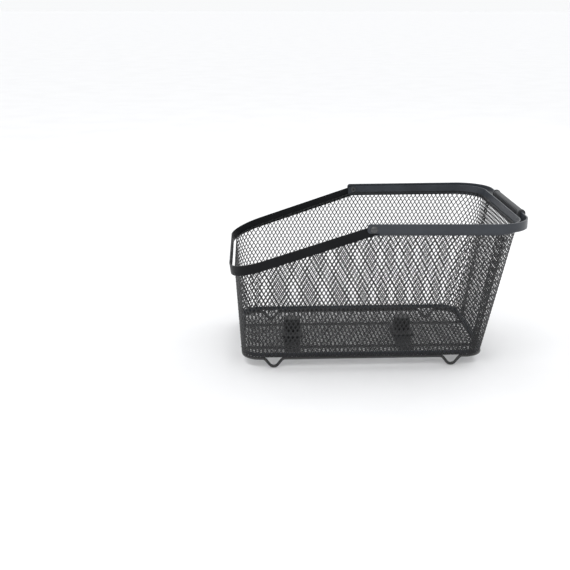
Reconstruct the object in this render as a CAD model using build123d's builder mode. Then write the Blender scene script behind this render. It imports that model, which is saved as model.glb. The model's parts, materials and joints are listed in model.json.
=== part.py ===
from build123d import *
import os
from math import asin, atan2, cos, degrees, hypot, radians, sin, tan

# Wire mesh carrier basket with a folding carry handle. Millimetres, +Z up.
# Origin: centre of the overall plan, on the plane that the four wire foot loops stand on.
# +X points to the high end (the rear), +Y to the right side, -Y to the left side.

# ---------------------------------------------------------------- driving dimensions
overall_length = 462.0
front_x = -overall_length / 2
rear_x = overall_length / 2

rim_top_z = 236.5
front_rim_top_z = 165.5
pivot_x = -15.0
pivot_z = 231.0

foot_drop = 13.0
wire_d = 4.5
sheet_t = 1.0
band_t = 1.8
band_height = 16.0
layer_gap = 0.1
body_gap = 0.3

# wall outline at the floor
base_front_x = -214.0
base_rear_x = 171.0
base_half = 117.0
base_corner = 31.0

# wall outline at the rear rim: half width at the pivot, and how much it opens per mm to the rear
rim_half = 148.2
rim_flare = 0.034
rim_rear_x = 212.5
rim_corner = 48.0

# wall outline at the sloping front rim, measured in the rim's own plane
front_corner = 52.0
front_half = 141.3
front_kink_half = 146.4
front_wall_inset = 5.1
mesh_below_rim = 10.5

# sloping front band
front_band_half = 144.6
front_band_kink_half = 152.5
front_band_corner = 55.0
front_band_lean = 8.1
band_lap = 9.0

# base
strip_t = 1.2
strip_height = 6.0
rod_y = 55.0
foot_x = (-163.5, 117.5)
foot_radius = 8.5
foot_shoulder_radius = 8.0
foot_leg_angle = 52.0
rod_end_chamfer = 0.5

# seams where the two mesh sheets lap
side_seam_x = 163.0
rear_seam_y = 67.0
seam_lap = 12.0

# carry handle
handle_t = 2.0
handle_height = 14.0
handle_top_z = 239.5
handle_half = 155.2
handle_flare = 0.036
handle_rear_x = 225.0
handle_corner = 55.0
handle_nose = 10.0
handle_nose_radius = 4.5
rivet_r = 2.5
rivet_clearance = 0.08
rivet_head_r = 5.5
rivet_head_height = 2.8
rivet_head_y = 155.45
rivet_tail_r = 4.2
rivet_tail_t = 1.2
rivet_tail_y = 146.75
rivet_hollow_r = 1.6
rivet_hollow_depth = 4.0
spacer_r = 6.0
spacer_end_y = 152.85

# grip on the handle
grip_length = 160.0
grip_height = 20.5
grip_depth = 12.5
grip_round = 5.6
grip_collar_length = 5.0
grip_collar_over = 0.8
grip_rib_pitch = 7.0
grip_rib_r = 1.6
grip_screw_y = 62.0
grip_screw_r = 1.5
grip_screw_head_r = 2.8
grip_screw_head_height = 1.6
grip_screw_bite = 3.0

# fixing sets that clamp the base to a carrier
fixing_x = {"front": -130.0, "rear": 56.0}
upper_plate_size = (34.0, 62.0, 3.5)
lower_plate_size = (25.0, 128.0, 3.0)
plate_corner = 6.0
plate_edge_chamfer = 1.0
washer_r = 9.0
washer_t = 1.2
knob_r = 14.0
knob_height = 20.0
knob_lobes = 8
knob_flute_r = 3.4
knob_top_round = 2.5
bolt_r = 3.0
bolt_clearance = 0.06
bolt_hole_r = 3.4
bolt_head_r = 8.0
bolt_head_height = 2.8
bolt_head_round = 2.2
bolt_square = 6.0
bolt_square_height = 2.6
bolt_tip_chamfer = 0.8
insert_flats = 10.0
insert_height = 5.0
knob_roof = 2.6

# ---------------------------------------------------------------- derived places
ring_z = foot_drop + wire_d / 2
rod_z = ring_z - wire_d - layer_gap / 2
floor_z = foot_drop + wire_d + layer_gap
floor_top_z = floor_z + sheet_t
slope_run = pivot_x - front_x
slope_drop = rim_top_z - front_rim_top_z
slope_length = hypot(slope_run, slope_drop)
slope_angle = degrees(atan2(slope_drop, slope_run))
front_band_flare = (front_band_kink_half - front_band_half) / slope_length
rear_layer = sheet_t + layer_gap
handle_bottom_z = handle_top_z - handle_height
sides = {"left": -1, "right": 1}


def slope_plane(depth):
    """Plane of the sloping front rim, a given depth below its top edge, seated at the pivots."""
    top = Plane(
        origin=(pivot_x, 0, rim_top_z),
        x_dir=(cos(radians(slope_angle)), 0, sin(radians(slope_angle))),
        z_dir=(-sin(radians(slope_angle)), 0, cos(radians(slope_angle))),
    )
    return top.offset(-depth)


def plan(plane, x_low, x_high, half_low, half_high, round_low, round_high, grow=0.0):
    """Closed outline, a trapezoid with rounded corners, grown outwards by a distance."""
    with BuildSketch(plane) as outline:
        with BuildLine():
            Polyline(
                (x_low, -half_low),
                (x_high, -half_high),
                (x_high, half_high),
                (x_low, half_low),
                close=True,
            )
        make_face()
        by_x = outline.sketch_local.vertices().sort_by(Axis.X)
        fillet(by_x[:2], round_low)
        by_x = outline.sketch_local.vertices().sort_by(Axis.X)
        fillet(by_x[-2:], round_high)
        if grow:
            offset(amount=grow)
    return outline.sketch


def base_outline(grow):
    return plan(
        Plane.XY.offset(floor_z),
        base_front_x,
        base_rear_x,
        base_half,
        base_half,
        base_corner,
        base_corner,
        grow,
    )


def rear_rim_outline(grow):
    far_front = front_x + band_t
    return plan(
        Plane.XY.offset(rim_top_z),
        far_front,
        rim_rear_x,
        rim_half + rim_flare * (far_front - pivot_x),
        rim_half + rim_flare * (rim_rear_x - pivot_x),
        rim_corner,
        rim_corner,
        grow,
    )


def front_rim_outline(grow):
    flare = (front_kink_half - front_half) / slope_length
    far_rear = slope_length
    return plan(
        slope_plane(mesh_below_rim),
        -slope_length + front_wall_inset,
        far_rear,
        front_half,
        front_kink_half + flare * far_rear,
        front_corner,
        front_corner,
        grow,
    )


def rear_block(grow):
    """Solid volume inside the wall surface, drawn up to the level rear rim."""
    with BuildPart() as block:
        add(base_outline(grow))
        add(rear_rim_outline(grow))
        loft(ruled=True)
    return block.part


def front_block(grow):
    """Solid volume inside the wall surface, drawn up to the sloping front rim."""
    with BuildPart() as block:
        add(base_outline(grow))
        add(front_rim_outline(grow))
        loft(ruled=True)
    return block.part


def shell(outer_block, inner_block):
    """Thin wall between two such volumes, open at the floor and at the rim."""
    with BuildPart() as wall:
        add(outer_block)
        add(inner_block, mode=Mode.SUBTRACT)
    return wall.part


def rear_shell(outer):
    """Wall sheet behind the pivots, its outer face a given offset from the wall surface."""
    sheet = shell(rear_block(outer), rear_block(outer - sheet_t))
    with BuildPart() as trimmed:
        add(sheet)
        split(bisect_by=Plane.XY.offset(rim_top_z - mesh_below_rim), keep=Keep.BOTTOM)
        split(bisect_by=Plane.YZ.offset(pivot_x), keep=Keep.TOP)
    return trimmed.part


def front_shell(outer):
    """Wall sheet ahead of the pivots."""
    sheet = shell(front_block(outer), front_block(outer - sheet_t))
    with BuildPart() as trimmed:
        add(sheet)
        split(bisect_by=Plane.YZ.offset(pivot_x), keep=Keep.BOTTOM)
    return trimmed.part


def front_band_outline(grow):
    return plan(
        slope_plane(0),
        -slope_length,
        slope_length,
        front_band_half,
        front_band_kink_half + front_band_flare * slope_length,
        front_band_corner,
        front_band_corner,
        grow,
    )


def band_block(grow):
    """Solid volume inside the sloping front band's outer face."""
    with BuildPart() as block:
        add(front_band_outline(grow))
        extrude(amount=-band_height, taper=front_band_lean)
    return block.part


def front_band_side(side):
    """Plane of the sloping band's outer face at one pivot, facing outwards."""
    top = slope_plane(0)
    lean = tan(radians(front_band_lean))
    outwards = Vector(0, side, 0) - top.x_dir * front_band_flare - top.z_dir * lean
    return Plane(origin=(pivot_x, side * front_band_kink_half, rim_top_z), z_dir=outwards)


def pivot_bores():
    """Drill the current part for the rivets at both pivots."""
    with Locations((pivot_x, 0, pivot_z)):
        Cylinder(
            rivet_r + rivet_clearance,
            overall_length,
            rotation=(90, 0, 0),
            mode=Mode.SUBTRACT,
        )


# ---------------------------------------------------------------- mesh sheets
outer_rear_shell = rear_shell(0)
outer_front_shell = front_shell(0)
inner_rear_shell = rear_shell(-rear_layer)
with BuildPart() as wall_mesh:
    add(outer_rear_shell)
    add(outer_front_shell)
    with Locations((side_seam_x + seam_lap / 2, rear_seam_y - seam_lap / 2, rim_top_z / 2)):
        Box(
            overall_length,
            overall_length,
            rim_top_z * 2,
            align=(Align.MIN, Align.MAX, Align.CENTER),
            mode=Mode.SUBTRACT,
        )
wall_mesh.part.label = "wall_mesh"

with BuildPart() as rear_mesh:
    add(inner_rear_shell)
    with Locations((side_seam_x - seam_lap / 2, rear_seam_y + seam_lap / 2, rim_top_z / 2)):
        Box(
            overall_length,
            overall_length,
            rim_top_z * 2,
            align=(Align.MIN, Align.MAX, Align.CENTER),
            mode=Mode.INTERSECT,
        )
rear_mesh.part.label = "rear_mesh"

with BuildPart() as floor_mesh:
    add(base_outline(-rear_layer - sheet_t - layer_gap))
    extrude(amount=sheet_t)
    with Locations([(x, 0, floor_z) for x in fixing_x.values()]):
        Cylinder(bolt_hole_r, 4 * sheet_t, mode=Mode.SUBTRACT)
floor_mesh.part.label = "floor_mesh"

# ---------------------------------------------------------------- rim bands
rear_band_outside = rear_block(layer_gap + band_t)
rear_band_inside = rear_block(layer_gap)
with BuildPart() as rear_rim_band:
    add(rear_band_outside)
    add(rear_band_inside, mode=Mode.SUBTRACT)
    split(bisect_by=Plane.XY.offset(rim_top_z - band_height), keep=Keep.TOP)
    split(bisect_by=Plane.YZ.offset(pivot_x - band_lap), keep=Keep.TOP)
    split(bisect_by=slope_plane(0), keep=Keep.BOTTOM)
    pivot_bores()
rear_rim_band.part.label = "rear_rim_band"

front_band_outside = band_block(0)
front_band_inside = band_block(-band_t)
with BuildPart() as front_rim_band:
    add(front_band_outside)
    add(front_band_inside, mode=Mode.SUBTRACT)
    split(bisect_by=Plane.YZ.offset(pivot_x + band_lap), keep=Keep.BOTTOM)
    split(bisect_by=Plane.XY.offset(rim_top_z), keep=Keep.BOTTOM)
    pivot_bores()
front_rim_band.part.label = "front_rim_band"

# ---------------------------------------------------------------- base
strip_outer = -rear_layer - sheet_t - layer_gap
strip_outside = rear_block(strip_outer)
strip_inside = rear_block(strip_outer - strip_t)
with BuildPart() as base_strip:
    add(strip_outside)
    add(strip_inside, mode=Mode.SUBTRACT)
    split(bisect_by=Plane.XY.offset(floor_top_z + layer_gap), keep=Keep.TOP)
    split(bisect_by=Plane.XY.offset(floor_top_z + layer_gap + strip_height), keep=Keep.BOTTOM)
base_strip.part.label = "base_strip"

foot_vertex_drop = foot_drop + foot_radius * (1 / cos(radians(foot_leg_angle)) - 1)
foot_half = foot_vertex_drop / tan(radians(foot_leg_angle))
ring_inset = wire_d / 2
ring_front_x = base_front_x + ring_inset
ring_rear_x = base_rear_x - ring_inset
ring_y = base_half - ring_inset
ring_corner = base_corner - ring_inset


def base_wire(side):
    """Half of the base ring on one side, with the two foot loops bent down in it."""
    y = side * ring_y
    points = [(ring_front_x, side * layer_gap, ring_z), (ring_front_x, y, ring_z)]
    radii = [ring_corner]
    for x in foot_x:
        points += [
            (x - foot_half, y, ring_z),
            (x, y, ring_z - foot_vertex_drop),
            (x + foot_half, y, ring_z),
        ]
        radii += [foot_shoulder_radius, foot_radius, foot_shoulder_radius]
    points += [(ring_rear_x, y, ring_z), (ring_rear_x, side * layer_gap, ring_z)]
    radii += [ring_corner]
    with BuildPart() as wire:
        with BuildLine() as path:
            FilletPolyline(*points, radius=radii)
        with BuildSketch(Plane(origin=points[0], z_dir=(0, side, 0))):
            Circle(wire_d / 2)
        sweep()
    return wire.part


base_wires = {}
for name, side in sides.items():
    base_wires[name] = base_wire(side)
    base_wires[name].label = f"base_wire_{name}"

rod_front_x = base_front_x + layer_gap
rod_length = base_rear_x - layer_gap - rod_front_x
base_rods = {}
for name, side in sides.items():
    with BuildPart() as rod:
        with BuildSketch(Plane(origin=(rod_front_x, side * rod_y, rod_z), z_dir=(1, 0, 0))):
            Circle(wire_d / 2)
        extrude(amount=rod_length)
        chamfer(rod.edges().filter_by(GeomType.CIRCLE), rod_end_chamfer)
    rod.part.label = f"base_rod_{name}"
    base_rods[name] = rod.part

# ---------------------------------------------------------------- carry handle
def handle_outline(grow):
    return plan(
        Plane.XY.offset(handle_bottom_z),
        front_x,
        handle_rear_x,
        handle_half + handle_flare * (front_x - pivot_x),
        handle_half + handle_flare * (handle_rear_x - pivot_x),
        handle_corner,
        handle_corner,
        grow,
    )


with BuildPart() as handle_strap:
    add(handle_outline(0))
    extrude(amount=handle_height)
    add(handle_outline(-handle_t))
    extrude(amount=handle_height, mode=Mode.SUBTRACT)
    split(bisect_by=Plane.YZ.offset(pivot_x - handle_nose), keep=Keep.TOP)
    nose_edges = handle_strap.edges().filter_by(Axis.Y).group_by(Axis.X)[0]
    fillet(nose_edges, handle_nose_radius)
    pivot_bores()
    screw_height = handle_top_z - handle_height / 2
    with Locations(
        (handle_rear_x, -grip_screw_y, screw_height),
        (handle_rear_x, grip_screw_y, screw_height),
    ):
        Cylinder(
            grip_screw_r + layer_gap,
            4 * handle_t,
            rotation=(0, 90, 0),
            mode=Mode.SUBTRACT,
        )
handle_strap.part.label = "handle_strap"

grip_mid_x = rear_x - grip_depth / 2
grip_mid_z = handle_top_z - handle_height / 2
grip_split_x = handle_rear_x - handle_t / 2
grip_screw_tip_x = grip_split_x - handle_t / 2 - grip_screw_bite
grip_screw_head_x = rear_x - grip_screw_head_height


def grip_section(start_y):
    """Plane across the grip, looking along Y."""
    return Plane(origin=(grip_mid_x, start_y, grip_mid_z), x_dir=(1, 0, 0), z_dir=(0, 1, 0))


grip_waist = (grip_depth - 2 * grip_collar_over, grip_height - 2 * grip_collar_over)
with BuildPart() as grip_body:
    with BuildSketch(grip_section(-grip_length / 2)):
        RectangleRounded(*grip_waist, grip_round - grip_collar_over)
    extrude(amount=grip_length)
    for start in (-grip_length / 2, grip_length / 2 - grip_collar_length):
        with BuildSketch(grip_section(start)):
            RectangleRounded(grip_depth, grip_height, grip_round)
        extrude(amount=grip_collar_length)
    fillet(grip_body.edges().group_by(Axis.Y)[0], grip_collar_over)
    fillet(grip_body.edges().group_by(Axis.Y)[-1], grip_collar_over)
    rib_count = int((grip_length - 4 * grip_collar_length) / grip_rib_pitch)
    with Locations((grip_mid_x - grip_depth / 2 + grip_collar_over, 0, grip_mid_z)):
        with GridLocations(1, grip_rib_pitch, 1, rib_count):
            Cylinder(grip_rib_r, grip_height, mode=Mode.SUBTRACT)
    with Locations((grip_split_x, 0, grip_mid_z)):
        Box(
            handle_t + 2 * layer_gap,
            2 * grip_length,
            handle_height + 2 * layer_gap,
            mode=Mode.SUBTRACT,
        )
    with Locations([(grip_screw_tip_x, y, grip_mid_z) for y in (-grip_screw_y, grip_screw_y)]):
        Cylinder(
            grip_screw_r + layer_gap,
            overall_length,
            rotation=(0, 90, 0),
            align=(Align.CENTER, Align.CENTER, Align.MIN),
            mode=Mode.SUBTRACT,
        )
    with Locations([(grip_screw_head_x, y, grip_mid_z) for y in (-grip_screw_y, grip_screw_y)]):
        Cylinder(
            grip_screw_head_r + layer_gap,
            overall_length,
            rotation=(0, 90, 0),
            align=(Align.CENTER, Align.CENTER, Align.MIN),
            mode=Mode.SUBTRACT,
        )

with BuildPart() as grip_inner_shell:
    add(grip_body.part)
    split(bisect_by=Plane.YZ.offset(grip_split_x - layer_gap / 2), keep=Keep.BOTTOM)
grip_inner_shell.part.label = "grip_inner_shell"

with BuildPart() as grip_outer_shell:
    add(grip_body.part)
    split(bisect_by=Plane.YZ.offset(grip_split_x + layer_gap / 2), keep=Keep.TOP)
grip_outer_shell.part.label = "grip_outer_shell"

with BuildPart() as grip_screws:
    for y in (-grip_screw_y, grip_screw_y):
        with BuildSketch(Plane(origin=(grip_screw_tip_x + layer_gap, y, grip_mid_z), z_dir=(1, 0, 0))):
            Circle(grip_screw_r)
        extrude(amount=grip_screw_head_x - grip_screw_tip_x)
        with BuildSketch(Plane(origin=(grip_screw_head_x + layer_gap, y, grip_mid_z), z_dir=(1, 0, 0))):
            Circle(grip_screw_head_r)
        extrude(amount=grip_screw_head_height - grip_collar_over - 2 * layer_gap)
grip_screws.part.label = "grip_screws"

# ---------------------------------------------------------------- handle pivots
rivet_dome_r = (rivet_head_r**2 + rivet_head_height**2) / (2 * rivet_head_height)
rivet_dome_half_angle = asin(rivet_head_r / rivet_dome_r)
rivet_dome_centre_y = rivet_head_y + rivet_head_height - rivet_dome_r
pivot_spacers = {}
pivot_rivets = {}
for name, side in sides.items():
    with BuildPart() as spacer:
        with BuildSketch(Plane(origin=(pivot_x, side * (rim_half - band_t), pivot_z), z_dir=(0, side, 0))):
            Circle(spacer_r)
            Circle(rivet_r + rivet_clearance, mode=Mode.SUBTRACT)
        extrude(amount=spacer_end_y - rim_half + band_t)
        split(bisect_by=front_band_side(side).offset(layer_gap), keep=Keep.TOP)
    spacer.part.label = f"pivot_spacer_{name}"
    pivot_spacers[name] = spacer.part

    with BuildPart() as rivet:
        with BuildSketch(Plane.XY.offset(pivot_z)):
            with BuildLine():
                Polyline(
                    (pivot_x, side * (rivet_tail_y - rivet_tail_t + rivet_hollow_depth)),
                    (pivot_x + rivet_hollow_r, side * (rivet_tail_y - rivet_tail_t + rivet_hollow_depth)),
                    (pivot_x + rivet_hollow_r, side * (rivet_tail_y - rivet_tail_t)),
                    (pivot_x + rivet_tail_r, side * (rivet_tail_y - rivet_tail_t)),
                    (pivot_x + rivet_tail_r, side * rivet_tail_y),
                    (pivot_x + rivet_r, side * rivet_tail_y),
                    (pivot_x + rivet_r, side * rivet_head_y),
                    (pivot_x + rivet_head_r, side * rivet_head_y),
                )
                ThreePointArc(
                    (pivot_x + rivet_head_r, side * rivet_head_y),
                    (
                        pivot_x + rivet_dome_r * sin(rivet_dome_half_angle / 2),
                        side * (rivet_dome_centre_y + rivet_dome_r * cos(rivet_dome_half_angle / 2)),
                    ),
                    (pivot_x, side * (rivet_head_y + rivet_head_height)),
                )
                Line(
                    (pivot_x, side * (rivet_head_y + rivet_head_height)),
                    (pivot_x, side * (rivet_tail_y - rivet_tail_t + rivet_hollow_depth)),
                )
            make_face()
        revolve(axis=Axis((pivot_x, 0, pivot_z), (0, 1, 0)))
    rivet.part.label = f"pivot_rivet_{name}"
    pivot_rivets[name] = rivet.part

# ---------------------------------------------------------------- fixing sets
upper_plate_z = floor_top_z + layer_gap
washer_z = upper_plate_z + upper_plate_size[2] + layer_gap
knob_z = washer_z + washer_t + body_gap
knob_top_z = knob_z + knob_height
bolt_top_z = knob_top_z - knob_roof - body_gap
lower_plate_top_z = rod_z - wire_d / 2 - body_gap
lower_plate_z = lower_plate_top_z - lower_plate_size[2]
bolt_head_z = lower_plate_z - layer_gap / 2 - bolt_head_height
insert_z = knob_z

fixing_parts = []
for name, x in fixing_x.items():
    with BuildPart() as upper_plate:
        with BuildSketch(Plane.XY.offset(upper_plate_z)):
            with Locations((x, 0)):
                RectangleRounded(upper_plate_size[0], upper_plate_size[1], plate_corner)
                Circle(bolt_hole_r, mode=Mode.SUBTRACT)
        extrude(amount=upper_plate_size[2])
        chamfer(upper_plate.faces().sort_by(Axis.Z)[-1].outer_wire().edges(), plate_edge_chamfer)
    upper_plate.part.label = f"upper_plate_{name}"

    with BuildPart() as washer:
        with BuildSketch(Plane.XY.offset(washer_z)):
            with Locations((x, 0)):
                Circle(washer_r)
                Circle(bolt_hole_r, mode=Mode.SUBTRACT)
        extrude(amount=washer_t)
    washer.part.label = f"knob_washer_{name}"

    with BuildPart() as knob:
        with BuildSketch(Plane.XY.offset(knob_z)):
            with Locations((x, 0)):
                Circle(knob_r)
                with PolarLocations(knob_r + knob_flute_r / 2, knob_lobes):
                    Circle(knob_flute_r, mode=Mode.SUBTRACT)
        extrude(amount=knob_height)
        fillet(knob.faces().sort_by(Axis.Z)[-1].edges(), knob_top_round)
        with BuildSketch(Plane.XY.offset(knob_z)):
            with Locations((x, 0)):
                RegularPolygon(insert_flats / 2 + layer_gap, 6, major_radius=False)
        extrude(amount=insert_height + layer_gap, mode=Mode.SUBTRACT)
        with BuildSketch(Plane.XY.offset(knob_z)):
            with Locations((x, 0)):
                Circle(bolt_hole_r)
        extrude(amount=knob_height - knob_roof, mode=Mode.SUBTRACT)
    knob.part.label = f"knob_{name}"

    with BuildPart() as insert:
        with BuildSketch(Plane.XY.offset(insert_z)):
            with Locations((x, 0)):
                RegularPolygon(insert_flats / 2, 6, major_radius=False)
                Circle(bolt_r + bolt_clearance, mode=Mode.SUBTRACT)
        extrude(amount=insert_height)
    insert.part.label = f"knob_insert_{name}"

    with BuildPart() as lower_plate:
        with BuildSketch(Plane.XY.offset(lower_plate_z)):
            with Locations((x, 0)):
                RectangleRounded(lower_plate_size[0], lower_plate_size[1], plate_corner)
                Rectangle(bolt_square + 2 * layer_gap, bolt_square + 2 * layer_gap, mode=Mode.SUBTRACT)
        extrude(amount=lower_plate_size[2])
    lower_plate.part.label = f"clamp_plate_{name}"

    with BuildPart() as bolt:
        with BuildSketch(Plane.XY.offset(bolt_head_z)):
            with Locations((x, 0)):
                Circle(bolt_head_r)
        extrude(amount=bolt_head_height)
        fillet(bolt.edges().sort_by(Axis.Z)[0], bolt_head_round)
        with BuildSketch(Plane.XY.offset(bolt_head_z + bolt_head_height)):
            with Locations((x, 0)):
                Rectangle(bolt_square, bolt_square)
        extrude(amount=bolt_square_height)
        with BuildSketch(Plane.XY.offset(bolt_head_z + bolt_head_height)):
            with Locations((x, 0)):
                Circle(bolt_r)
        extrude(amount=bolt_top_z - bolt_head_z - bolt_head_height)
        chamfer(bolt.edges().sort_by(Axis.Z)[-1], bolt_tip_chamfer)
    bolt.part.label = f"clamp_bolt_{name}"
    fixing_parts += [upper_plate.part, washer.part, knob.part, insert.part, lower_plate.part, bolt.part]

# ---------------------------------------------------------------- output
pieces = [
    wall_mesh.part,
    rear_mesh.part,
    floor_mesh.part,
    rear_rim_band.part,
    front_rim_band.part,
    base_strip.part,
    *base_wires.values(),
    *base_rods.values(),
    handle_strap.part,
    grip_inner_shell.part,
    grip_outer_shell.part,
    grip_screws.part,
    *pivot_spacers.values(),
    *pivot_rivets.values(),
    *fixing_parts,
]
os.makedirs("parts", exist_ok=True)
for piece in pieces:
    export_step(piece, f"parts/{piece.label}.step")
    box = piece.bounding_box()
    print(piece.label, len(piece.solids()), round(piece.volume), box.min, box.max)
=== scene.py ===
import json
import math
from bisect import bisect_right

import bpy
from bpy.props import FloatProperty, FloatVectorProperty, IntProperty, PointerProperty
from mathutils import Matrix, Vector


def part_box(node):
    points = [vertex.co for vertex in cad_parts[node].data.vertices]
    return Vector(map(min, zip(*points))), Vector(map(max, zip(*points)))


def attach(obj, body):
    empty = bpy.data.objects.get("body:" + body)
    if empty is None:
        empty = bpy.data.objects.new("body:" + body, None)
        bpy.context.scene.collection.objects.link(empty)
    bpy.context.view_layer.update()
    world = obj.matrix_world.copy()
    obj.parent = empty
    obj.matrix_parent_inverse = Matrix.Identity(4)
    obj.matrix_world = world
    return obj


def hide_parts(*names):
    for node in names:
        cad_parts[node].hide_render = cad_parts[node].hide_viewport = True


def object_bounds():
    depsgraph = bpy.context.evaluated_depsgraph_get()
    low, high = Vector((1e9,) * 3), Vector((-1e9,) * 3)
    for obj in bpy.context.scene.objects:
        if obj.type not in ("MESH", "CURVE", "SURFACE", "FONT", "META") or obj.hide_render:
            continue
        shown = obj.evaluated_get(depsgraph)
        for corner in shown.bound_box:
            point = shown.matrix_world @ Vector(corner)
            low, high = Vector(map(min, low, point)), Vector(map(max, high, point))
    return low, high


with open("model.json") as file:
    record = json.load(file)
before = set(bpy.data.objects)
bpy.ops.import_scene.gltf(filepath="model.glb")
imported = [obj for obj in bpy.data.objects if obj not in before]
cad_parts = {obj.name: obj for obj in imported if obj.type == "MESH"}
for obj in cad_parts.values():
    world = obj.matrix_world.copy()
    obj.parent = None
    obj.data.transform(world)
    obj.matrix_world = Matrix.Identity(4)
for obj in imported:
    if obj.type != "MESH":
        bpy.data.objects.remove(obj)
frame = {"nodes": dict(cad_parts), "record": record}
bounds_at_load = [list(corner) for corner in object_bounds()]

bl_info = {
    "name": "Carrier basket",
    "version": (1, 0, 0),
    "blender": (4, 5, 0),
    "location": "View3D > Sidebar > Basket",
    "description": "Expanded mesh, coats, welds and studio for a bicycle carrier basket",
    "category": "Object",
}

# places of the colour sockets on a mix node, which share their names with the number sockets
MIX_COLOUR_A = 6
MIX_COLOUR_B = 7
MIX_COLOUR_RESULT = 2

# divisions of the beads, and steps used to find the ends of a wall sheet on the wall
BEAD_SEGMENTS = 20
BEAD_RINGS = 12
STEPS_PER_OPENING = 8

# vertices of the lattice closer than this share of a strand are one
MERGE_SHARE = 1 / 20
SENSOR_WIDTH = 36.0


def length(name, description, default):
    """A size in metres."""
    return FloatProperty(
        name=name,
        description=description,
        default=default,
        min=0.0,
        precision=5,
        unit="LENGTH",
        subtype="DISTANCE",
    )


def colour(name, description, default):
    """A linear colour."""
    return FloatVectorProperty(
        name=name, description=description, default=default, size=3, min=0.0, max=1.0, subtype="COLOR"
    )


def amount(name, description, default):
    """A plain number."""
    return FloatProperty(name=name, description=description, default=default, precision=4)


# ---------------------------------------------------------------- settings
class ExpandedMeshSettings(bpy.types.PropertyGroup):
    """The pattern of the expanded steel mesh."""

    opening_width: length("Opening width", "Short way of one diamond, centre to centre", 0.0070)
    opening_height: length("Opening height", "Long way of one diamond, centre to centre", 0.0117)
    strand_width: length("Strand width", "Width of one coated strand", 0.00142)
    strand_thickness: length("Strand thickness", "Thickness of one coated strand", 0.0008)
    bond_length: length("Bond length", "Length of the solid knuckle between four strands", 0.0006)
    relief: length("Relief", "How far the ends of a knuckle tip out of the sheet", 0.00022)
    smallest_opening: amount("Smallest opening", "Share of a full diamond below which it stays closed", 0.3)


class OutlineSettings(bpy.types.PropertyGroup):
    """The shape of the walls that the mesh sheets follow."""

    base_corner: length("Base corner", "Corner radius at the floor", 0.031)
    rim_corner: length("Rim corner", "Corner radius at the level rim", 0.048)
    front_corner: length("Front corner", "Corner radius at the sloping rim", 0.052)
    rim_half: length("Rim half width", "Half width of the walls at the pivots", 0.1482)
    rim_flare: amount("Rim flare", "Half width gained for each unit of length to the rear", 0.034)
    rim_rear: length("Rim rear", "Distance from the middle to the rear wall at the rim", 0.2125)
    rim_height: length("Rim height", "Top of the level rim over the ground", 0.2365)
    front_rim_height: length("Front rim height", "Top of the sloping rim at its low end", 0.1655)
    front_half: length("Front half width", "Half width of the walls at the front rim", 0.1413)
    front_inset: length("Front inset", "Front wall behind the front end, along the slope", 0.0051)
    below_rim: length("Below rim", "Upper edge of the mesh below the rim's top", 0.0105)
    sheet_thickness: length("Sheet thickness", "Thickness of a mesh sheet's envelope", 0.001)
    layer_gap: length("Layer gap", "Gap between the two sheets where they lap", 0.0001)
    arc_steps: IntProperty(name="Arc steps", description="Divisions of one corner", default=24, min=4)


class SeamSettings(bpy.types.PropertyGroup):
    """Where the two wall sheets lap."""

    side: length("Side seam", "Middle of the lap on the left side wall, ahead of the rear", 0.163)
    rear: length("Rear seam", "Middle of the lap on the rear wall, to the right", 0.067)
    lap: length("Lap", "Width of a lap", 0.012)


class WeldSettings(bpy.types.PropertyGroup):
    """Beads that join the base wires and rods."""

    length: length("Bead length", "Length of a bead along the rod", 0.0085)
    width: length("Bead width", "Width of a bead across the rod", 0.0062)
    height: length("Bead height", "Height of a bead", 0.0042)


class CoatSettings(bpy.types.PropertyGroup):
    """Colours of the coats, plastics and metals."""

    mesh: colour("Mesh coat", "Powder coat on the mesh", (0.013, 0.0135, 0.0145))
    band: colour("Band coat", "Powder coat on the level band, strip and handle", (0.030, 0.0345, 0.042))
    # painted shade: the sloping front band has the same black powder coat as the level band; this darker
    # colour stands in for the dim light that falls on it from the camera's side
    front: colour("Front coat", "Powder coat on the sloping front band", (0.0085, 0.0090, 0.0100))
    wire: colour("Wire coat", "Powder coat on wires and rods", (0.012, 0.012, 0.0128))
    rivet: colour("Rivet coat", "Coat on the rivets", (0.035, 0.036, 0.038))
    grip: colour("Grip plastic", "Moulded plastic of the grip", (0.038, 0.040, 0.043))
    knob: colour("Knob plastic", "Moulded plastic of the knobs", (0.020, 0.020, 0.0208))
    plate: colour("Plate coat", "Coat on the clamp plates", (0.016, 0.016, 0.017))
    zinc: colour("Zinc", "Zinc plated steel", (0.52, 0.53, 0.56))
    floor: colour("Floor", "Studio floor", (0.86, 0.86, 0.865))


class StageSettings(bpy.types.PropertyGroup):
    """Camera and light."""

    eye: FloatVectorProperty(
        name="Eye",
        description="Place of the camera",
        default=(-0.1930, -1.5084, 0.5655),
        size=3,
        unit="LENGTH",
        subtype="TRANSLATION",
    )
    look: FloatVectorProperty(
        name="Look",
        description="Direction in which the camera looks",
        default=(0.0455, 0.9556, -0.2912),
        size=3,
        subtype="DIRECTION",
    )
    roll: amount("Roll", "Turn of the camera about its line of sight, in radians", 0.002)
    lens: amount("Lens", "Focal length in millimetres", 59.97)
    shift_x: amount("Shift X", "Sideways shift of the picture", -0.0216)
    shift_y: amount("Shift Y", "Upward shift of the picture", -0.0060)
    floor_size: length("Floor size", "Side of the square floor", 60.0)
    sky_colour: colour("Sky colour", "Colour of the light from all round", (0.985, 0.992, 1.0))
    low_light: amount("Low light", "Strength of the light at the horizon", 0.60)
    high_light: amount("High light", "Strength of the light overhead", 1.02)
    back_light: amount("Back light", "Light added behind the basket", 0.36)
    key: amount("Key", "Power of the soft box over the left front, in watts", 9.0)
    fill: amount("Fill", "Power of the soft box over the right rear, in watts", 9.0)


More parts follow.
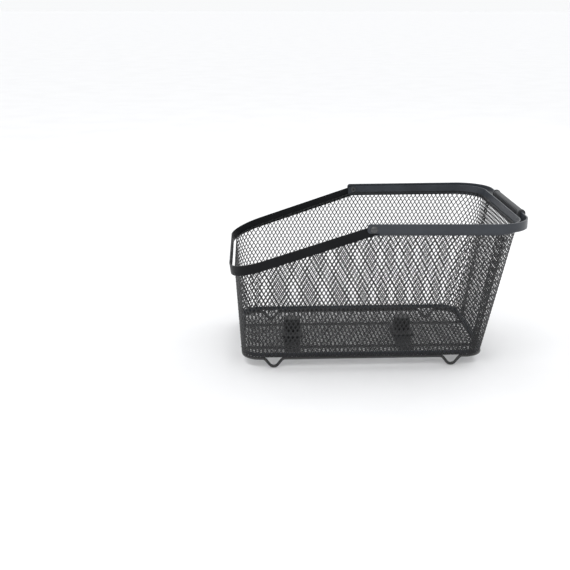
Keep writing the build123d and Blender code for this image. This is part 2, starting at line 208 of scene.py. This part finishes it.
# ---------------------------------------------------------------- shader maths
class Signal:
    """A shader output that takes part in arithmetic like a number."""

    def __init__(self, finish, socket):
        self.finish = finish
        self.socket = socket

    def _maths(self, operation, first, second):
        return self.finish.node("ShaderNodeMath", {"operation": operation}, {0: first, 1: second})

    def __add__(self, other):
        return self._maths("ADD", self, other)

    def __radd__(self, other):
        return self._maths("ADD", other, self)

    def __sub__(self, other):
        return self._maths("SUBTRACT", self, other)

    def __rsub__(self, other):
        return self._maths("SUBTRACT", other, self)

    def __mul__(self, other):
        return self._maths("MULTIPLY", self, other)

    def clamped(self, low, high):
        """This value mapped from low..high to 0..1 with soft ends."""
        return self.finish.node(
            "ShaderNodeMapRange",
            {"interpolation_type": "SMOOTHSTEP"},
            {"Value": self, "From Min": low, "From Max": high},
            "Result",
        )


class Finish:
    """One procedural material built from object coordinates."""

    def __init__(self, name, base, roughness, metallic=0.0, specular=0.5):
        self.material = bpy.data.materials.new(finish_name(name))
        self.material.use_nodes = True
        self.tree = self.material.node_tree
        self.shader = self.tree.nodes["Principled BSDF"]
        self.base = base
        self.material.diffuse_color = (*base, 1.0)
        self.shader.inputs["Base Color"].default_value = (*base, 1.0)
        self.shader.inputs["Roughness"].default_value = roughness
        self.shader.inputs["Metallic"].default_value = metallic
        self.shader.inputs["Specular IOR Level"].default_value = specular
        self.place = self.node("ShaderNodeTexCoord", {}, {}, "Object")

    def node(self, kind, options, values, output=0):
        """Add a node, set it up, feed its inputs, and give back one of its outputs."""
        made = self.tree.nodes.new(kind)
        for key, value in options.items():
            setattr(made, key, value)
        for key, value in values.items():
            if isinstance(value, Signal):
                self.tree.links.new(value.socket, made.inputs[key])
            else:
                made.inputs[key].default_value = value
        return Signal(self, made.outputs[output])

    def noise(self, scale, detail=2.0, stretch=(1.0, 1.0, 1.0)):
        """Smooth noise from 0 to 1."""
        place = self.node("ShaderNodeMapping", {}, {"Vector": self.place, "Scale": stretch})
        values = {"Vector": place, "Scale": scale, "Detail": detail}
        return self.node("ShaderNodeTexNoise", {}, values, "Fac")

    def cells(self, scale):
        """Distance to the nearest of many scattered points, in cell sizes."""
        values = {"Vector": self.place, "Scale": scale}
        return self.node("ShaderNodeTexVoronoi", {}, values, "Distance")

    def upwards(self):
        """How far a face looks up, from -1 to 1."""
        normal = self.node("ShaderNodeNewGeometry", {}, {}, "Normal")
        return self.node("ShaderNodeSeparateXYZ", {}, {"Vector": normal}, "Z")

    def tint(self, other, share):
        """Blend the base colour towards another one by a varying share."""
        mixed = self.node(
            "ShaderNodeMix",
            {"data_type": "RGBA"},
            {"Factor": share, MIX_COLOUR_A: (*self.base, 1.0), MIX_COLOUR_B: (*other, 1.0)},
            MIX_COLOUR_RESULT,
        )
        self.feed("Base Color", mixed)

    def feed(self, name, signal):
        """Drive one input of the surface."""
        self.tree.links.new(signal.socket, self.shader.inputs[name])

    def bump(self, height, depth):
        """Raise the surface by a height signal times a depth in metres."""
        normal = self.node("ShaderNodeBump", {}, {"Height": height, "Distance": depth, "Strength": 1.0})
        self.feed("Normal", normal)


def finish_name(slot_name):
    """Name of the procedural material made for one of the record's slots."""
    return f"finish_{slot_name}"


def lighter(base, factor):
    """A colour scaled by a factor."""
    return tuple(min(channel * factor, 1.0) for channel in base)


def powder_coat(name, base, roughness, gloss=0.35, grain=1400.0, depth=0.000018):
    """Baked powder coat: fine orange peel, slow tone drift and a little dust on faces that look up."""
    finish = Finish(name, base, roughness, specular=gloss)
    peel = finish.noise(grain, 2.0)
    drift = finish.noise(22.0, 3.0)
    speck = finish.noise(4200.0, 1.0).clamped(0.62, 0.80)
    dust = finish.upwards().clamped(0.55, 1.0) * finish.noise(140.0, 4.0).clamped(0.42, 0.75)
    finish.tint(lighter(base, 2.6), drift.clamped(0.35, 0.75) * 0.22 + speck * 0.30 + dust * 0.28)
    finish.feed("Roughness", roughness + (drift - 0.5) * 0.16 + dust * 0.12)
    finish.bump(peel + speck * 0.4, depth)
    return finish.material


def moulded_plastic(name, base, roughness):
    """Moulded plastic with a fine spark-eroded grain and softly worn high spots."""
    finish = Finish(name, base, roughness, specular=0.4)
    grain = finish.cells(2600.0) * 0.6 + finish.noise(5200.0, 2.0) * 0.4
    wear = finish.noise(60.0, 4.0).clamped(0.5, 0.8)
    finish.tint(lighter(base, 1.7), grain.clamped(0.35, 0.9) * 0.35 + wear * 0.25)
    finish.feed("Roughness", roughness - wear * 0.10 + (grain - 0.5) * 0.12)
    finish.bump(grain, 0.00005)
    return finish.material


def zinc_plate(name, base, roughness):
    """Zinc plated steel: turned marks, spangle and a slightly dulled film."""
    finish = Finish(name, base, roughness, metallic=1.0)
    marks = finish.noise(520.0, 3.0, (1.0, 1.0, 14.0))
    film = finish.noise(160.0, 4.0)
    finish.tint(lighter(base, 0.62), film.clamped(0.4, 0.75) * 0.5)
    finish.feed("Roughness", roughness + (film - 0.5) * 0.2 + (marks - 0.5) * 0.1)
    finish.bump(marks, 0.00002)
    return finish.material


def pale_floor(name, base):
    """Matt studio paper with a faint mottle."""
    finish = Finish(name, base, 0.85, specular=0.2)
    mottle = finish.noise(6.0, 4.0)
    finish.tint(lighter(base, 0.94), mottle.clamped(0.3, 0.8) * 0.5)
    finish.feed("Roughness", 0.8 + mottle * 0.1)
    finish.bump(finish.noise(900.0, 2.0), 0.00005)
    return finish.material


# ---------------------------------------------------------------- wall surface
def rounded_corner(before, corner, after, radius, grow, steps):
    """Points of the arc that rounds one corner of a clockwise outline, grown outwards."""
    towards = (before - corner).normalized()
    onwards = (after - corner).normalized()
    half = towards.angle(onwards) / 2
    centre = corner + (towards + onwards).normalized() * radius / math.sin(half)
    first = math.atan2(-towards.x, towards.y)
    last = math.atan2(onwards.x, -onwards.y)
    sweep = (first - last) % math.tau
    reach = radius + grow
    points = []
    for step in range(steps + 1):
        angle = first - sweep * step / steps
        points.append(centre + Vector((math.cos(angle), math.sin(angle))) * reach)
    return points


def settings(context):
    """The basket's settings."""
    return context.scene.basket


class Ruling:
    """A straight line up a wall or along the floor, which one column of the mesh follows."""

    def __init__(self, origin, direction, low, high, outward):
        self.origin = origin
        self.direction = direction
        self.low = low
        self.high = high
        self.outward = outward

    def at(self, distance, rise):
        """A point at a distance along the line, kept inside its ends, and raised off the sheet."""
        kept = min(max(distance, self.low), self.high)
        return self.origin + self.direction * kept + self.outward * rise


class WallSurface:
    """Matched points round the floor's edge and round the upper edge of the mesh, clockwise.

    The round starts and ends at the left pivot, and runs along the left side to the front first.
    """

    def __init__(self, outline, inset):
        floor_low, floor_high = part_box("floor_mesh")
        pivot = next(j for j in frame["record"]["behaviour"]["joints"] if j["name"] == "handle_fold")
        self.outline = outline
        self.inset = inset
        self.pivot_x = pivot["pos_m"][0]
        self.front_x = -outline_reach()
        self.floor_z = floor_low[2]
        walls = 2 * (outline.sheet_thickness + outline.layer_gap)
        self.base_front = floor_low[0] - walls
        self.base_rear = floor_high[0] + walls
        self.base_half = floor_high[1] + walls
        self.foot = []
        self.head = []
        self._trace()
        self.along = [0.0]
        middles = [(low + high) / 2 for low, high in zip(self.foot, self.head)]
        for before, after in zip(middles, middles[1:]):
            self.along.append(self.along[-1] + (after - before).length)

    def _base_arc(self, before, corner, after):
        arc = rounded_corner(
            Vector(before), Vector(corner), Vector(after), self.outline.base_corner, -self.inset,
            self.outline.arc_steps,
        )
        self.foot += [Vector((p.x, p.y, self.floor_z)) for p in arc]

    def _trace(self):
        outline = self.outline
        front, rear, half = self.base_front, self.base_rear, self.base_half
        corners = [(front, -half), (front, half), (rear, half), (rear, -half)]
        side_foot = Vector((self.pivot_x, -half + self.inset, self.floor_z))
        rise = outline.rim_height - self.floor_z
        share = (rise - outline.below_rim) / rise
        side_rim = -outline.rim_half + self.inset
        side_head = Vector(
            (
                self.pivot_x,
                side_foot.y + (side_rim - side_foot.y) * share,
                outline.rim_height - outline.below_rim,
            )
        )
        self.foot.append(side_foot)
        self.head.append(side_head)
        self._base_arc(corners[3], corners[0], corners[1])
        self._base_arc(corners[0], corners[1], corners[2])
        self.head += self._front_heads()
        self.foot.append(side_foot * Vector((1, -1, 1)))
        self.head.append(side_head * Vector((1, -1, 1)))
        first_rear = len(self.foot)
        self._base_arc(corners[1], corners[2], corners[3])
        self._base_arc(corners[2], corners[3], corners[0])
        for low, high in zip(self.foot[first_rear:], self._rear_rim()):
            self.head.append(low + (high - low) * share)
        self.foot.append(side_foot.copy())
        self.head.append(side_head.copy())

    def _front_heads(self):
        """Upper edge of the mesh round the two front corners, in the sloping rim's plane."""
        outline = self.outline
        run = self.pivot_x - self.front_x
        drop = outline.rim_height - outline.front_rim_height
        slope = math.hypot(run, drop)
        cos, sin = run / slope, drop / slope
        low, kink = outline.front_half, outline.rim_half - outline.below_rim * rim_lean(self)
        flare = (kink - low) / slope
        ends = [(slope, -kink - flare * slope), (-slope + outline.front_inset, -low)]
        ends += [(-slope + outline.front_inset, low), (slope, kink + flare * slope)]
        heads = []
        for index in (1, 2):
            arc = rounded_corner(
                Vector(ends[index - 1]), Vector(ends[index]), Vector(ends[index + 1]),
                outline.front_corner, -self.inset, outline.arc_steps,
            )
            for p in arc:
                x = self.pivot_x + p.x * cos + outline.below_rim * sin
                z = outline.rim_height + p.x * sin - outline.below_rim * cos
                heads.append(Vector((x, p.y, z)))
        return heads

    def _rear_rim(self):
        """The level rim round the two rear corners."""
        outline = self.outline
        rear_half = outline.rim_half + outline.rim_flare * (outline.rim_rear - self.pivot_x)
        ends = [(self.pivot_x, outline.rim_half), (outline.rim_rear, rear_half)]
        ends += [(outline.rim_rear, -rear_half), (self.pivot_x, -outline.rim_half)]
        points = []
        for index in (1, 2):
            arc = rounded_corner(
                Vector(ends[index - 1]), Vector(ends[index]), Vector(ends[index + 1]),
                outline.rim_corner, -self.inset, outline.arc_steps,
            )
            points += [Vector((p.x, p.y, outline.rim_height)) for p in arc]
        return points

    def pair(self, distance):
        """The points at the floor and at the upper edge, a distance round from the left pivot."""
        whole = self.along[-1]
        distance %= whole
        index = min(bisect_right(self.along, distance), len(self.along) - 1)
        span = self.along[index] - self.along[index - 1]
        share = (distance - self.along[index - 1]) / span if span else 0.0
        return (
            self.foot[index - 1].lerp(self.foot[index], share),
            self.head[index - 1].lerp(self.head[index], share),
        )

    def ruling(self, distance, step):
        """The wall's straight line at a distance round."""
        foot, head = self.pair(distance)
        ahead = self.pair(distance + step)
        behind = self.pair(distance - step)
        direction = (head - foot).normalized()
        tangent = ((ahead[0] + ahead[1]) - (behind[0] + behind[1])).normalized()
        outward = direction.cross(tangent).normalized()
        if outward.dot(Vector((foot.x, foot.y, 0.0))) < 0:
            outward.negate()
        return Ruling(foot, direction, 0.0, (head - foot).length, outward)

    def find(self, test, start, step):
        """The first distance from start on, in steps, where the wall's middle passes a test."""
        distance = start
        while not test(sum(self.pair(distance), Vector()) / 2):
            distance += step
            if abs(distance - start) > self.along[-1]:
                raise RuntimeError("no such place on the wall")
        return distance

    def columns(self, first, last, width):
        """Rulings from one distance to another, half an opening apart."""
        count = max(round(abs(last - first) / (width / 2)), 2)
        return [self.ruling(first + (last - first) * i / count, width / 2) for i in range(count + 1)]


def outline_reach():
    """Half the basket's length."""
    return (bounds_at_load[1][0] - bounds_at_load[0][0]) / 2


def rim_lean(surface):
    """Half width that the side walls gain for each unit of height, at the pivots."""
    return (surface.outline.rim_half - surface.base_half) / (surface.outline.rim_height - surface.floor_z)


# ---------------------------------------------------------------- expanded mesh
def diamond_sheet(name, columns, pattern):
    """A sheet of six-sided openings, two long pairs of strands and two short knuckles each."""
    row = pattern.opening_height / 2
    half_bond = pattern.bond_length / 2
    rows = math.ceil(max(line.high for line in columns) / row) + 1
    places = []
    index = {}

    def vertex(i, j, end):
        key = (i, j, end)
        if key not in index:
            line = columns[min(max(i, 0), len(columns) - 1)]
            index[key] = len(places)
            places.append(line.at(j * row + end * half_bond, end * pattern.relief))
        return index[key]

    faces = []
    for i in range(len(columns)):
        for j in range(rows + 1):
            if (i + j) % 2:
                faces.append(
                    (
                        vertex(i, j - 1, 1),
                        vertex(i + 1, j, -1),
                        vertex(i + 1, j, 1),
                        vertex(i, j + 1, -1),
                        vertex(i - 1, j, 1),
                        vertex(i - 1, j, -1),
                    )
                )
    mesh = bpy.data.meshes.new(name)
    mesh.from_pydata(places, [], faces)
    mesh.update()
    sheet = bpy.data.objects.new(name, mesh)
    bpy.context.collection.objects.link(sheet)
    alone(sheet)
    bpy.ops.object.mode_set(mode="EDIT")
    bpy.ops.mesh.select_all(action="SELECT")
    bpy.ops.mesh.remove_doubles(threshold=pattern.strand_width * MERGE_SHARE)
    bpy.ops.mesh.dissolve_degenerate(threshold=pattern.strand_width * MERGE_SHARE)
    bpy.ops.mesh.normals_make_consistent(inside=False)
    bpy.ops.mesh.select_all(action="DESELECT")
    bpy.ops.object.mode_set(mode="OBJECT")
    full = pattern.opening_width * pattern.opening_height / 2
    for face in mesh.polygons:
        face.select = face.area > full * pattern.smallest_opening
    bpy.ops.object.mode_set(mode="EDIT")
    bpy.ops.mesh.select_mode(type="FACE")
    bpy.ops.mesh.inset(thickness=pattern.strand_width / 2, use_individual=True, use_even_offset=True)
    bpy.ops.mesh.delete(type="FACE")
    bpy.ops.object.mode_set(mode="OBJECT")
    thicken = sheet.modifiers.new("Thickness", "SOLIDIFY")
    thicken.thickness = pattern.strand_thickness
    thicken.offset = 0.0
    bpy.ops.object.modifier_apply(modifier=thicken.name)
    return sheet


def alone(obj):
    """Select and activate one object only."""
    bpy.ops.object.select_all(action="DESELECT")
    obj.select_set(True)
    bpy.context.view_layer.objects.active = obj


def dress(obj, slot_name, body="basket"):
    """Give a new piece its finish and the body it moves with."""
    obj.data.materials.clear()
    obj.data.materials.append(bpy.data.materials[finish_name(slot_name)])
    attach(obj, body)


def finished(step):
    """Stop the script if an operator did not finish."""
    if step != {"FINISHED"}:
        raise RuntimeError("a step did not finish")


def studio_light(tree, stage):
    """Light from all round: bright overhead and behind, dimmer low down on the camera's side."""
    background = tree.nodes["Background"]
    place = tree.nodes.new("ShaderNodeTexCoord")
    parts = tree.nodes.new("ShaderNodeSeparateXYZ")
    tree.links.new(place.outputs["Generated"], parts.inputs["Vector"])
    strengths = []
    for axis, low, high, dim, bright in (
        ("Z", 0.0, 0.7, stage.low_light, stage.high_light),
        ("Y", -0.6, 0.6, 0.0, stage.back_light),
    ):
        ramp = tree.nodes.new("ShaderNodeMapRange")
        ramp.interpolation_type = "SMOOTHSTEP"
        ramp.inputs["From Min"].default_value = low
        ramp.inputs["From Max"].default_value = high
        ramp.inputs["To Min"].default_value = dim
        ramp.inputs["To Max"].default_value = bright
        tree.links.new(parts.outputs[axis], ramp.inputs["Value"])
        strengths.append(ramp)
    total = tree.nodes.new("ShaderNodeMath")
    total.operation = "ADD"
    for slot, ramp in enumerate(strengths):
        tree.links.new(ramp.outputs["Result"], total.inputs[slot])
    tree.links.new(total.outputs["Value"], background.inputs["Strength"])
    background.inputs["Color"].default_value = (*stage.sky_colour, 1.0)


# ---------------------------------------------------------------- operators
class BASKET_OT_finishes(bpy.types.Operator):
    """Make every finish and lay it on the parts that show as they are."""

    bl_idname = "basket.finishes"
    bl_label = "Make finishes"

    def execute(self, context):
        coats = settings(context).coats
        powder_coat("mesh_coat", coats.mesh, 0.34, gloss=0.40)
        powder_coat("band_coat", coats.band, 0.36, gloss=0.40)
        # painted shade: a darker, less glossy copy of the band coat, laid on the sloping front band so that
        # it looks as shaded as it does facing the dim camera side
        powder_coat("front_band_coat", coats.front, 0.42, gloss=0.08)
        powder_coat("wire_coat", coats.wire, 0.24, gloss=0.6, depth=0.000012)
        powder_coat("rivet_metal", coats.rivet, 0.22, gloss=0.8, depth=0.00001)
        powder_coat("fixing_coat", coats.plate, 0.45)
        moulded_plastic("grip_plastic", coats.grip, 0.55)
        moulded_plastic("knob_plastic", coats.knob, 0.5)
        zinc_plate("fixing_steel", coats.zinc, 0.34)
        pale_floor("studio_floor", coats.floor)
        for part in frame["record"]["subparts"]:
            node = frame["nodes"][part["node"]]
            node.data.materials.clear()
            node.data.materials.append(bpy.data.materials[finish_name(part["material_slot"])])
        return {"FINISHED"}


class BASKET_OT_wall_sheets(bpy.types.Operator):
    """Expanded mesh of the side and front walls, and of the rear wall lapped inside them."""

    bl_idname = "basket.wall_sheets"
    bl_label = "Add wall mesh"

    def execute(self, context):
        chosen = settings(context)
        outline, seams, pattern = chosen.outline, chosen.seams, chosen.pattern
        outer = WallSurface(outline, outline.sheet_thickness / 2)
        inner = WallSurface(outline, outline.sheet_thickness * 1.5 + outline.layer_gap)
        step = pattern.opening_width / STEPS_PER_OPENING
        wall_start = outer.find(lambda p: p.x > seams.side + seams.lap / 2, 0.0, -step)
        rear_half = outer.along[-1] / 2
        wall_end = outer.find(
            lambda p: p.x > seams.side and p.y < seams.rear - seams.lap / 2, rear_half, step
        )
        wall = diamond_sheet(
            "wall_lattice", outer.columns(wall_start, wall_end, pattern.opening_width), pattern
        )
        dress(wall, "mesh_coat")
        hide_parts("wall_mesh")
        rear_end = inner.find(lambda p: p.x > seams.side - seams.lap / 2, 0.0, -step)
        rear_start = inner.find(
            lambda p: p.x > seams.side and p.y < seams.rear + seams.lap / 2, rear_half, step
        )
        rear = diamond_sheet(
            "rear_lattice",
            inner.columns(rear_start, rear_end + inner.along[-1], pattern.opening_width),
            pattern,
        )
        dress(rear, "mesh_coat")
        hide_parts("rear_mesh")
        return {"FINISHED"}


class BASKET_OT_floor_sheet(bpy.types.Operator):
    """Expanded mesh of the floor, its long way along the basket."""

    bl_idname = "basket.floor_sheet"
    bl_label = "Add floor mesh"

    def execute(self, context):
        chosen = settings(context)
        pattern = chosen.pattern
        low, high = (Vector(corner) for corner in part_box("floor_mesh"))
        radius = chosen.outline.base_corner
        middle = (low.z + high.z) / 2
        count = round((high.y - low.y) / (pattern.opening_width / 2))
        columns = []
        for i in range(count + 1):
            y = low.y + (high.y - low.y) * i / count
            into = max(abs(y) - (high.y - radius), 0.0)
            inset = radius - math.sqrt(max(radius**2 - into**2, 0.0))
            columns.append(
                Ruling(
                    Vector((low.x, y, middle)),
                    Vector((1, 0, 0)),
                    inset,
                    high.x - low.x - inset,
                    Vector((0, 0, 1)),
                )
            )
        floor = diamond_sheet("floor_lattice", columns, pattern)
        dress(floor, "mesh_coat")
        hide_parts("floor_mesh")
        return {"FINISHED"}


class BASKET_OT_welds(bpy.types.Operator):
    """Weld beads where the two base rods cross under the base wire, front and rear."""

    bl_idname = "basket.welds"
    bl_label = "Add welds"

    def execute(self, context):
        bead = settings(context).welds
        for rod in ("base_rod_left", "base_rod_right"):
            low, high = (Vector(corner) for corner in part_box(rod))
            wire = (high.z - low.z) / 2
            y = (low.y + high.y) / 2
            for end, x in (("front", low.x + wire), ("rear", high.x - wire)):
                bpy.ops.object.select_all(action="DESELECT")
                bpy.ops.mesh.primitive_uv_sphere_add(
                    segments=BEAD_SEGMENTS, ring_count=BEAD_RINGS, radius=0.5, location=(x, y, high.z)
                )
                weld = context.object
                weld.name = f"weld_{rod}_{end}"
                weld.scale = (bead.length, bead.width, bead.height)
                bpy.ops.object.transform_apply(location=True, rotation=True, scale=True)
                bpy.ops.object.shade_smooth()
                dress(weld, "wire_coat")
        return {"FINISHED"}


class BASKET_OT_studio(bpy.types.Operator):
    """Pale floor, even light all round, two soft boxes and the camera."""

    bl_idname = "basket.studio"
    bl_label = "Set the stage"

    def execute(self, context):
        stage = settings(context).stage
        bpy.ops.object.select_all(action="DESELECT")
        bpy.ops.mesh.primitive_plane_add(size=stage.floor_size, location=(0, 0, 0))
        ground = context.object
        ground.name = "studio_ground"
        ground.data.materials.append(bpy.data.materials[finish_name("studio_floor")])
        world = bpy.data.worlds.new("studio_sky")
        context.scene.world = world
        world.use_nodes = True
        studio_light(world.node_tree, stage)
        boxes = [
            ("key_box", stage.key, 1.6, (-1.1, -1.0, 1.9)),
            ("fill_box", stage.fill, 1.8, (1.3, 0.9, 1.7)),
        ]
        for name, power, size, place in boxes:
            bpy.ops.object.light_add(type="AREA", location=place)
            lamp = context.object
            lamp.name = name
            lamp.data.energy = power
            lamp.data.size = size
            lamp.rotation_euler = (-Vector(place)).to_track_quat("-Z", "Y").to_euler()
        bpy.ops.object.camera_add(location=stage.eye)
        camera = context.object
        camera.name = "studio_camera"
        aim = Vector(stage.look).to_track_quat("-Z", "Y")
        camera.rotation_euler = aim.to_euler()
        camera.rotation_euler.rotate_axis("Z", stage.roll)
        camera.data.lens = stage.lens
        camera.data.sensor_width = SENSOR_WIDTH
        camera.data.shift_x = stage.shift_x
        camera.data.shift_y = stage.shift_y
        camera.data.dof.use_dof = False
        context.scene.camera = camera
        context.scene.view_settings.view_transform = "Standard"
        return {"FINISHED"}


class BasketSettings(bpy.types.PropertyGroup):
    """All settings of the basket and its stage."""

    pattern: PointerProperty(name="Mesh", description="Expanded mesh", type=ExpandedMeshSettings)
    outline: PointerProperty(name="Outline", description="Wall outline", type=OutlineSettings)
    seams: PointerProperty(name="Seams", description="Laps of the sheets", type=SeamSettings)
    welds: PointerProperty(name="Welds", description="Weld beads", type=WeldSettings)
    coats: PointerProperty(name="Coats", description="Colours", type=CoatSettings)
    stage: PointerProperty(name="Stage", description="Camera and light", type=StageSettings)


class BASKET_PT_panel(bpy.types.Panel):
    """Basket settings and steps in the sidebar."""

    bl_idname = "BASKET_PT_panel"
    bl_label = "Carrier basket"
    bl_space_type = "VIEW_3D"
    bl_region_type = "UI"
    bl_category = "Basket"

    def draw(self, context):
        chosen = settings(context)
        groups = (chosen.pattern, chosen.outline, chosen.seams, chosen.welds, chosen.coats, chosen.stage)
        for group in groups:
            box = self.layout.box()
            for name in group.__annotations__:
                box.prop(group, name)
        for step in STEPS:
            self.layout.operator(step.bl_idname)


STEPS = (
    BASKET_OT_finishes,
    BASKET_OT_wall_sheets,
    BASKET_OT_floor_sheet,
    BASKET_OT_welds,
    BASKET_OT_studio,
)
CLASSES = (
    ExpandedMeshSettings,
    OutlineSettings,
    SeamSettings,
    WeldSettings,
    CoatSettings,
    StageSettings,
    BasketSettings,
    *STEPS,
    BASKET_PT_panel,
)


def register():
    for kind in CLASSES:
        bpy.utils.register_class(kind)
    bpy.types.Scene.basket = PointerProperty(type=BasketSettings)


def unregister():
    del bpy.types.Scene.basket
    for kind in reversed(CLASSES):
        bpy.utils.unregister_class(kind)


def main():
    register()
    finished(bpy.ops.basket.finishes())
    finished(bpy.ops.basket.wall_sheets())
    finished(bpy.ops.basket.floor_sheet())
    finished(bpy.ops.basket.welds())
    finished(bpy.ops.basket.studio())


if __name__ == "__main__":
    main()
